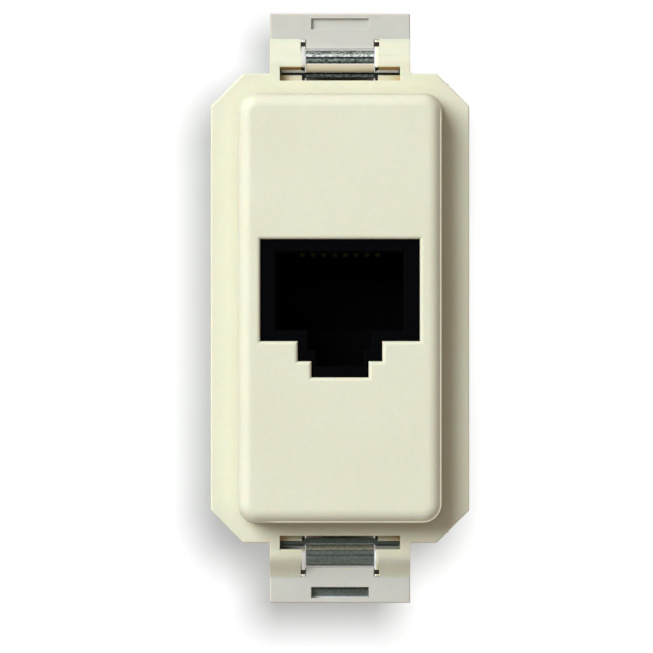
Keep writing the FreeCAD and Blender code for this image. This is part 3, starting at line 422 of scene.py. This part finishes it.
def skin(name, sections):
    """A closed mesh through a row of like sections, with a cap at each end and its faces outwards."""
    rows, count = sections.shape[:2]
    corner = np.arange(rows * count).reshape(rows, count)
    ahead = np.roll(corner, -1, axis=1)
    sides = np.stack([corner[:-1], ahead[:-1], ahead[1:], corner[1:]], axis=-1).reshape(-1, 4)
    points = sections.reshape(-1, 3)
    first, second, third = points[sides[:, 0]], points[sides[:, 1]], points[sides[:, 2]]
    normals = np.cross(second - first, third - first)
    outwards = np.sum((first - points.mean(axis=0)) * normals) > 0
    faces = [*sides.tolist(), corner[0][::-1].tolist(), corner[-1].tolist()]
    mesh = bpy.data.meshes.new(name)
    mesh.from_pydata(points, [], faces if outwards else [face[::-1] for face in faces])
    return mesh


def carried(x, y, z):
    """Sections of an outline in Y and Z that is carried along X."""
    return np.stack(np.broadcast_arrays(x[:, None], y, z), axis=-1)


def new_piece(name, mesh, made):
    """Puts a mesh in the scene as a piece of the object."""
    piece = bpy.data.objects.new(name, mesh)
    bpy.context.scene.collection.objects.link(piece)
    mesh.materials.append(made)
    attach(piece, "root")
    return piece


class SOCKET_OT_front_frame(bpy.types.Operator):
    """Finishes the ivory front frame"""
    bl_idname = "socket.front_frame"
    bl_label = "Front frame"

    def execute(self, context):
        colours, sizes = context.scene.socket_colours, context.scene.socket_sizes
        ivory, warm, crease_shade = (
            tuple(tone) for tone in (colours.ivory, colours.ivory_warm, colours.ivory_aged))
        satin = {"grain": sizes.spark_grain, "roughness": 0.45, "specular": 0.35, "relief": 0.08,
                 "glow": mm(0.35)}
        # Satin ABS: soft highlights, painted shade in the slots and creases, and painted highlights that
        # glow on the stretches beside the springs
        dress(["front_frame"], moulded_plastic(
            "abs_ivory_moulded_satin", ivory, warm, edge=sizes.plastic_edge, painted_glow=0.23, crease_shade=crease_shade,
            painted_highlight=(mm(3.47), mm(22.95), tuple(colours.ivory_rubbed)), **satin))
        # The same ABS for the lips in the upper slots, in a brown that is painted shade, and dull
        lip_shade = moulded_plastic(
            "abs_ivory_moulded_lip_shade", tuple(colours.ivory_lip), crease_shade, edge=sizes.plastic_edge,
            **(satin | {"roughness": 0.5, "specular": 0.2}))
        # A thin bead with a painted glow: painted light, a bright line at the shaded foot of the face
        flash = moulded_plastic(
            "abs_ivory_moulded_glow_bead", ivory, warm, edge=mm(0.02), painted_glow=0.45, **satin)
        # Fillets: the same satin, clean and with narrow edges
        plain = moulded_plastic("abs_ivory_moulded_fillet", ivory, warm, edge=mm(0.02), **satin)
        # The lips' brown is painted shade in the upper slots
        for side, hand in SIDES:
            name = f"slot_lip_{hand}"
            new_piece(name, self.make_lip(side, name), lip_shade)
        new_piece("face_glow_bead", self.make_flash(sizes.flash), flash)
        for side, hand in SIDES:
            for end, level in ENDS:
                name = f"arm_fillet_{level}_{hand}"
                new_piece(name, self.make_fillet(side, end, name), plain)
        return {"FINISHED"}

    def make_lip(self, side, name):
        """Drafted lip under an upper arm, above the wing of the spring.

        A wedge along X whose front edge lies on the slot's outer side and whose foot comes down on the
        wing.
        """
        inner, outer = mm(3.7), mm(5.68)
        front, rear, high, low = mm(-3.1), mm(-2.25), mm(22.86), mm(22.61)
        x = side * np.linspace(inner, outer, 9)
        y, z = np.array([(front, high), (rear, low), (rear, high)]).T
        return skin(name, carried(x, y, z))

    def make_flash(self, radius):
        """Thin glowing bead down the right side of the face, round the corner and along its lower side: a
        line of painted light.

        A six-sided bead whose middle follows a straight line, a quarter circle and a straight line. The
        bead swells from nothing over the first half millimetre and thins out over the last two
        millimetres.
        """
        right, low, corner, depth = mm(9.48), mm(-20.17), mm(1.68), mm(-6.72)
        top, left, swell, fade, thinnest = mm(18.9), mm(-8.0), mm(0.5), mm(2.0), 0.05
        turn = np.linspace(0, np.pi / 2, 13)
        down = np.linspace(top, low + corner, 90)[:-1]
        along = np.linspace(right - corner, left, 40)[1:]
        x = np.concatenate([np.full_like(down, right), right - corner + corner * np.cos(turn), along])
        z = np.concatenate([down, low + corner - corner * np.sin(turn), np.full_like(along, low)])
        facing = np.concatenate([np.zeros_like(down), turn, np.full_like(along, np.pi / 2)])
        run = np.concatenate([[0], np.cumsum(np.hypot(np.diff(x), np.diff(z)))])
        thick = radius * np.clip(np.minimum(run / swell, (run[-1] - run) / fade), thinnest, 1)
        around = np.arange(6) * np.pi / 3
        out, deep = np.outer(thick, np.cos(around)), np.outer(thick, np.sin(around))
        sections = np.stack([x[:, None] + out * np.cos(facing)[:, None], depth + deep,
                             z[:, None] - out * np.sin(facing)[:, None]], axis=-1)
        return skin("face_glow_bead", sections)

    def make_fillet(self, side, end, name):
        """Fillet that eases an arm's roll into its lip and closes the seam at the arm's end.

        A bar along X. Its front is a cubic curve that leaves the roll with the roll's slope and comes down
        on the ear plate with a gentler one.
        """
        inner, outer = mm(3.74), mm(6.62)
        near, far, high, low, foot = mm(23.9), mm(25.56), mm(-3.2), mm(-1.86), mm(-1.7)
        roll_slope, plate_slope = 0.59, 0.36
        t = np.linspace(0, 1, 17)
        drop = t ** 2 * (3 - 2 * t)
        bend = roll_slope * t * (1 - t) ** 2 - plate_slope * t ** 2 * (1 - t)
        front = high + (low - high) * drop + (far - near) * bend
        x = side * np.linspace(inner, outer, 5)
        y = np.append(front, [foot, foot])
        z = end * np.append(near + (far - near) * t, [far, near])
        return skin(name, carried(x, y, z))


class SOCKET_OT_rear_housing(bpy.types.Operator):
    """Finishes the light grey rear housing"""
    bl_idname = "socket.rear_housing"
    bl_label = "Rear housing"

    def execute(self, context):
        colours, sizes = context.scene.socket_colours, context.scene.socket_sizes
        # Matt polycarbonate: hardly a highlight, and thin walls that light softens
        grey = moulded_plastic(
            "polycarbonate_grey_moulded_matt", tuple(colours.grey), tuple(colours.grey_dark), edge=mm(0.05),
            grain=sizes.spark_grain, roughness=0.55, specular=0.3, relief=0.15, glow=mm(0.8))
        dress(["rear_housing"], grey)
        new_piece("terminal_numbers", self.make_numbers(context, sizes), grey)
        return {"FINISHED"}

    def make_numbers(self, context, sizes):
        """Raised terminal numbers on the back wall, each beside its terminal.

        Each is the outline of a digit, carried straight out of the wall by the rise and turned to be read
        from behind. A digit is 0.73 of its font's size high.
        """
        wall, beside, digit_share, weld = mm(13.5), mm(1.0), 0.73, mm(0.0005)
        turn = Matrix(((-1, 0, 0, 0), (0, 0, 1, 0), (0, 1, 0, 0), (0, 0, 0, 1)))
        joined = bmesh.new()
        for count, name in enumerate(TERMINALS, start=1):
            curve = bpy.data.curves.new("number", "FONT")
            curve.body = str(count)
            curve.size = sizes.number_height / digit_share
            curve.align_x, curve.align_y = "CENTER", "CENTER"
            curve.extrude = sizes.number_rise / 2
            letter = bpy.data.objects.new("number", curve)
            context.scene.collection.objects.link(letter)
            flat = bpy.data.meshes.new_from_object(letter.evaluated_get(context.evaluated_depsgraph_get()))
            low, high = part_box(name)
            middle = (low + high) / 2
            place = Matrix.Translation((
                math.copysign(beside, middle.x), wall + sizes.number_rise / 2, middle.z))
            flat.transform(place @ turn)
            joined.from_mesh(flat)
            bpy.data.objects.remove(letter)
            bpy.data.curves.remove(curve)
            bpy.data.meshes.remove(flat)
        bmesh.ops.remove_doubles(joined, verts=joined.verts, dist=weld)
        mesh = bpy.data.meshes.new("terminal_numbers")
        joined.to_mesh(mesh)
        joined.free()
        return mesh


class SOCKET_OT_clip_springs(bpy.types.Operator):
    """Finishes the two clip springs"""
    bl_idname = "socket.clip_springs"
    bl_label = "Clip springs"

    def execute(self, context):
        colours, sizes = context.scene.socket_colours, context.scene.socket_sizes
        highlight_tone, warm, pale_highlight, dull, dark = (tuple(tone) for tone in (
            colours.steel, colours.steel_warm, colours.steel_pale, colours.steel_dull, colours.steel_dark))
        # Painted shade and painted shadow for the springs' bands; the warm flank is a painted reflection
        half_shade, shaded, black = darker(dull, 0.6), darker(dull, 0.36), darker(dark, 0.2)
        tan, grey = between(warm, dull), between(highlight_tone, dull)
        # Distance from the middle in mm, colour, and how even and coated the steel is there. The colours
        # are
        # painted light: black and shaded bands are painted shadow and shade, the warm flank is a painted
        # reflection of the ivory, and the pale and bright bands are painted highlights. The first table is
        # the upper spring, painted as lit, the second the lower one, painted in shade. Beyond the crest the
        # outer leg is pale and coated, and the wings' ends are pale.
        highlit = ((21.8, black, 0.0), (21.86, black, 0.0), (21.95, shaded, 0.1), (22.14, shaded, 0.1),
                (22.24, black, 0.0), (22.34, black, 0.0), (22.42, warm, 1.0), (23.05, warm, 1.0),
                (23.12, pale_highlight, 1.0), (23.17, pale_highlight, 1.0), (23.22, shaded, 0.2), (23.34, shaded, 0.0),
                (23.42, half_shade, 0.0), (23.62, half_shade, 0.0), (23.68, dark, 0.0), (23.82, dark, 0.0),
                (23.9, highlight_tone, 0.0), (24.04, highlight_tone, 0.0), (24.14, dull, 0.0), (24.32, dull, 0.0),
                (24.38, dark, 0.0), (24.5, WHITE, 1.0))
        plain = ((21.7, black, 0.0), (21.76, black, 0.0), (21.84, shaded, 0.1), (22.25, shaded, 0.1),
                 (22.45, grey, 0.1), (22.85, grey, 0.1), (22.95, shaded, 0.1), (23.45, shaded, 0.1),
                 (23.6, dull, 0.1), (24.2, dull, 0.1), (24.36, dark, 0.1), (24.5, WHITE, 1.0))
        highlit_wings = ((22.2, dark), (22.32, dark), (22.38, tan), (22.8, WHITE))
        shaded_wings = ((22.1, shaded), (22.3, shaded), (22.5, dark), (22.8, WHITE))
        # The upper spring is painted as lit, with highlights and more glitter; the lower one as in shade
        finishes = ((highlit, highlit_wings, 0.6), (plain, shaded_wings, 0.25))
        for name, (bands, wings, sparkle) in zip(SPRINGS, finishes):
            dress([name], rolled_spring_steel(
                f"spring_steel_cold_rolled_{name.removeprefix('clip_spring_')}", bands, wings, edge=dark,
                strip_half=sizes.spring_half, streak=sizes.steel_streak, sparkle=sparkle))
        # Distance from the middle in mm and share of the dull tone: painted shade on the leaf, darker near
        # the slot's upper wall, above a pale edge that is a painted highlight
        shares = ((26.5, 0.45), (26.62, 0.33), (26.74, 0.66), (27.0, 0.54), (27.28, 0.6))
        leaf_shade = [*((at, darker(dull, share), 0.2) for at, share in shares), (27.48, WHITE, 1.0)]
        new_piece("release_leaf", self.make_leaf(), rolled_spring_steel(
            "spring_steel_cold_rolled_leaf", leaf_shade, leaf_shade, edge=dark, strip_half=sizes.spring_half,
            streak=sizes.steel_streak, sparkle=0.2))
        return {"FINISHED"}

    def make_leaf(self):
        """Steel leaf at the bottom of the lower release slot.

        A flat bar along X. It is bowed: it stands out by the rise times one minus the square of the
        distance from the middle over the half length.
        """
        half, rise, back, thick = mm(2.7), mm(0.08), mm(-0.45), mm(0.3)
        low, high = mm(-27.48), mm(-26.48)
        x = np.linspace(-half, half, 25)
        rear = back - rise * (1 - (x / half) ** 2)
        front = rear - thick
        y = np.stack([front, front, rear, rear], axis=1)
        return skin("release_leaf", carried(x, y, np.array([low, high, high, low])))


class SOCKET_OT_jack(bpy.types.Operator):
    """Finishes the jack shell and its contact block"""
    bl_idname = "socket.jack"
    bl_label = "Jack"

    def execute(self, context):
        colours, sizes = context.scene.socket_colours, context.scene.socket_sizes
        # Black PBT: deep black with almost no gleam, so that the mouth reads as a hole
        dress(["jack_shell", "contact_block"], moulded_plastic(
            "pbt_black_moulded", tuple(colours.black), tuple(colours.black), edge=sizes.plastic_edge,
            grain=sizes.spark_grain, roughness=0.5, specular=0.02, relief=0.1))
        return {"FINISHED"}


class SOCKET_OT_contacts(bpy.types.Operator):
    """Finishes the contact wires"""
    bl_idname = "socket.contacts"
    bl_label = "Contact wires"

    def execute(self, context):
        # Plated phosphor bronze: dim, warm glints along the wires
        dress(CONTACTS, plated_metal(
            "phosphor_bronze_drawn_plated", tuple(context.scene.socket_colours.contact), grain=mm(0.08),
            roughness=0.3, relief=0.2))
        return {"FINISHED"}


class SOCKET_OT_circuit_board(bpy.types.Operator):
    """Finishes the circuit board"""
    bl_idname = "socket.circuit_board"
    bl_label = "Circuit board"

    def execute(self, context):
        board = tuple(context.scene.socket_colours.board)
        # Solder mask on glass epoxy: cloudy green with a soft sheen and the faint weave's unevenness
        dress(["circuit_board"], moulded_plastic(
            "glass_epoxy_green_masked", board, darker(board, 0.8), edge=mm(0.05), grain=mm(0.4),
            roughness=0.4, specular=0.4, relief=0.1))
        return {"FINISHED"}


class SOCKET_OT_terminals(bpy.types.Operator):
    """Finishes terminal plates, clamp washers and screws"""
    bl_idname = "socket.terminals"
    bl_label = "Terminals"

    def execute(self, context):
        colours = context.scene.socket_colours
        brass, zinc = tuple(colours.brass), tuple(colours.zinc)
        screw_axes = mm(6.5), mm(11.2), mm(17.6)
        # Stamped brass: warm yellow with a soft, slightly blotchy gleam
        dress(TERMINALS, plated_metal("brass_stamped", brass, grain=mm(0.12), roughness=0.35, relief=0.2))
        # Zinc on stamped steel: pale grey and satin
        dress(["clamp_washers"], plated_metal(
            "steel_stamped_zinc_plated", zinc, grain=mm(0.15), roughness=0.35, relief=0.2))
        # Zinc on turned steel: brighter, with rings that draw the light into a fan
        dress(["terminal_screws"], plated_metal(
            "steel_turned_zinc_plated", zinc, grain=mm(0.2), roughness=0.3, relief=0.3, turned=screw_axes))
        return {"FINISHED"}


def lamp(name, target, level, tint, *, direction, distance, size):
    """A round lamp that lights a white surface facing the camera to the level given, as a share of white.

    A lamp's power over pi squared and the distance squared is the level on a surface that faces the lamp.
    """
    towards = Vector(direction).normalized()
    facing = -towards.y
    data = bpy.data.lights.new(name, "AREA")
    data.shape = "DISK"
    data.size = size
    data.color = tint
    data.energy = level * math.pi ** 2 * distance ** 2 / facing
    made = bpy.data.objects.new(name, data)
    made.location = target + towards * distance
    made.rotation_euler = (-towards).to_track_quat("-Z", "Y").to_euler()
    bpy.context.scene.collection.objects.link(made)
    return made


def collected(name, members):
    """A collection that a lamp's light or shadows are limited to."""
    made = bpy.data.collections.new(name)
    for member in members:
        made.objects.link(member)
    return made


class SOCKET_OT_stage(bpy.types.Operator):
    """Sets up the backdrop, the lamps, the world and the camera"""
    bl_idname = "socket.stage"
    bl_label = "Stage"

    def execute(self, context):
        studio = context.scene.socket_studio
        low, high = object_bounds()
        middle = (low + high) / 2
        backdrop = self.make_backdrop(high.y + mm(0.2), tuple(studio.card))
        backdrop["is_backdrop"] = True
        key = lamp("key_lamp", middle, studio.key_level, studio.key_tint,
                   direction=(-0.54, -0.75, 0.44), distance=1.2, size=0.9)
        wash = lamp("backdrop_lamp", middle, studio.backdrop_level, studio.backdrop_tint,
                    direction=(0.072, -1.0, 0.085), distance=0.6, size=0.155)
        key.light_linking.receiver_collection = collected("lit_by_key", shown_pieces())
        wash.light_linking.receiver_collection = collected("lit_by_backdrop_lamp", [backdrop])
        # The lower spring casts no shadow of the key lamp on the ear plate below it
        key.light_linking.blocker_collection = collected(
            "shadows_of_key", [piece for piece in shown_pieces() if piece.name != "clip_spring_bottom"])
        self.make_world(context, tuple(studio.ambient))
        self.make_camera(context, studio, middle)
        return {"FINISHED"}

    def make_backdrop(self, depth, tint):
        """A pale board right behind the object, which shows from its front side and to the camera only."""
        half, own_light = mm(120), 0.21
        corners = [(-half, depth, -half), (half, depth, -half), (half, depth, half), (-half, depth, half)]
        mesh = bpy.data.meshes.new("backdrop")
        mesh.from_pydata(corners, [], [(0, 1, 2, 3)])
        board = bpy.data.objects.new("backdrop", mesh)
        bpy.context.scene.collection.objects.link(board)
        for way in ("diffuse", "glossy", "transmission", "shadow"):
            setattr(board, f"visible_{way}", False)
        # White card: no gleam. Its cool tint under a warm lamp and the room's warm light comes out neutral.
        made, tree = new_material("backdrop_card_white")
        side = add(tree, "ShaderNodeNewGeometry").outputs["Backfacing"]
        card = add(tree, "ShaderNodeBsdfPrincipled", links={
            "Base Color": tint, "Roughness": 1.0, "Specular IOR Level": 0.0,
            "Emission Color": WHITE, "Emission Strength": own_light})
        clear = add(tree, "ShaderNodeBsdfTransparent")
        both = add(tree, "ShaderNodeMixShader", links={
            0: side, 1: card.outputs["BSDF"], 2: clear.outputs["BSDF"]})
        add(tree, "ShaderNodeOutputMaterial", links={"Surface": both.outputs["Shader"]})
        mesh.materials.append(made)
        return board

    def make_world(self, context, ambient):
        """White to the camera, and a grey room to glossy rays, brighter above and brightest at the rear.

        Diffuse light comes more from the sides than from the front, and most from the rear, so that the
        object's sides and back are lit as well as its face.
        """
        front_wall, ceiling, side_wall, rear_wall = (
            linear(code) for code in ("#7C817C", "#CBCECB", "#AAADAA", "#EDEFED"))
        from_sides, from_ends, rear_extra = 1.8, 0.6, 1.8
        world = bpy.data.worlds.new("studio")
        world.use_nodes = True
        context.scene.world = world
        tree = world.node_tree
        tree.nodes.clear()
        ray = add(tree, "ShaderNodeLightPath").outputs
        way = add(tree, "ShaderNodeSeparateXYZ", links={
            0: add(tree, "ShaderNodeTexCoord").outputs["Generated"]}).outputs
        behind = add(tree, "ShaderNodeMapRange", links={
            "Value": way["Y"], "From Min": -0.1, "From Max": 0.3})
        above = add(tree, "ShaderNodeMapRange", links={
            "Value": way["Z"], "From Min": 0.2, "From Max": 0.8})
        rear = add(tree, "ShaderNodeMapRange", links={
            "Value": way["Y"], "From Min": 0.4, "From Max": 0.8})
        front = add(tree, "ShaderNodeMix", {"data_type": "RGBA"}, {
            FACTOR: above.outputs["Result"], COLOUR_A: front_wall, COLOUR_B: ceiling})
        room = add(tree, "ShaderNodeMix", {"data_type": "RGBA"}, {
            FACTOR: behind.outputs["Result"], COLOUR_A: front.outputs[COLOUR_OUT], COLOUR_B: side_wall})
        open_room = add(tree, "ShaderNodeMix", {"data_type": "RGBA"}, {
            FACTOR: rear.outputs["Result"], COLOUR_A: room.outputs[COLOUR_OUT], COLOUR_B: rear_wall})
        head_on = add(tree, "ShaderNodeMath", {"operation": "ABSOLUTE"}, {0: way["Y"]})
        share = add(tree, "ShaderNodeMapRange", links={
            "Value": head_on.outputs["Value"], "To Min": from_sides, "To Max": from_ends})
        total = add(tree, "ShaderNodeMath", {"operation": "MULTIPLY_ADD"}, {
            0: rear.outputs["Result"], 1: rear_extra, 2: share.outputs["Result"]})
        fill = add(tree, "ShaderNodeVectorMath", {"operation": "SCALE"}, {
            0: ambient, "Scale": total.outputs["Value"]})
        mirrored = add(tree, "ShaderNodeMath", {"operation": "MAXIMUM"}, {
            0: ray["Is Glossy Ray"], 1: ray["Is Transmission Ray"]})
        lit = add(tree, "ShaderNodeMix", {"data_type": "RGBA"}, {
            FACTOR: mirrored.outputs["Value"], COLOUR_A: fill.outputs["Vector"],
            COLOUR_B: open_room.outputs[COLOUR_OUT]})
        shown = add(tree, "ShaderNodeMix", {"data_type": "RGBA"}, {
            FACTOR: ray["Is Camera Ray"], COLOUR_A: lit.outputs[COLOUR_OUT], COLOUR_B: WHITE})
        sky = add(tree, "ShaderNodeBackground", links={"Color": shown.outputs[COLOUR_OUT]})
        add(tree, "ShaderNodeOutputWorld", links={"Surface": sky.outputs["Background"]})

    def make_camera(self, context, studio, middle):
        """Looks straight at the face, with the object a little above and to the right of the middle."""
        right_pixels, up_pixels, flange_front = 13.5, 18.3, mm(-3.4)
        data = bpy.data.cameras.new("camera")
        data.lens = studio.lens * 1000
        frame_width = studio.pixel * PICTURE_WIDTH
        distance = data.lens / data.sensor_width * frame_width
        data.clip_start, data.clip_end = 0.01, 10
        made = bpy.data.objects.new("camera", data)
        made.location = (middle.x - right_pixels * studio.pixel, flange_front - distance,
                         middle.z - up_pixels * studio.pixel)
        made.rotation_euler = (math.pi / 2, 0, 0)
        context.scene.collection.objects.link(made)
        context.scene.camera = made
        context.scene.view_settings.view_transform = "Standard"


GROUPS = {"socket_colours": SocketColours, "socket_sizes": SocketSizes, "socket_studio": SocketStudio}
OPERATORS = (
    SOCKET_OT_front_frame, SOCKET_OT_rear_housing, SOCKET_OT_clip_springs, SOCKET_OT_jack,
    SOCKET_OT_contacts, SOCKET_OT_circuit_board, SOCKET_OT_terminals, SOCKET_OT_stage)


class SOCKET_PT_panel(bpy.types.Panel):
    """Lists the operators and what they read"""
    bl_label = "Telephone Socket"
    bl_idname = "SOCKET_PT_panel"
    bl_space_type = "VIEW_3D"
    bl_region_type = "UI"
    bl_category = "Socket"

    def draw(self, context):
        for operator in OPERATORS:
            self.layout.operator(operator.bl_idname)
        for name, group in GROUPS.items():
            box = self.layout.box()
            for value in group.__annotations__:
                box.prop(getattr(context.scene, name), value)


CLASSES = (*GROUPS.values(), *OPERATORS, SOCKET_PT_panel)


def register():
    for made in CLASSES:
        bpy.utils.register_class(made)
    for name, group in GROUPS.items():
        setattr(bpy.types.Scene, name, bpy.props.PointerProperty(type=group))


def unregister():
    for name in GROUPS:
        delattr(bpy.types.Scene, name)
    for made in reversed(CLASSES):
        bpy.utils.unregister_class(made)


def main():
    register()
    for operator in OPERATORS:
        space, name = operator.bl_idname.split(".")
        getattr(getattr(bpy.ops, space), name)()


if __name__ == "__main__":
    main()
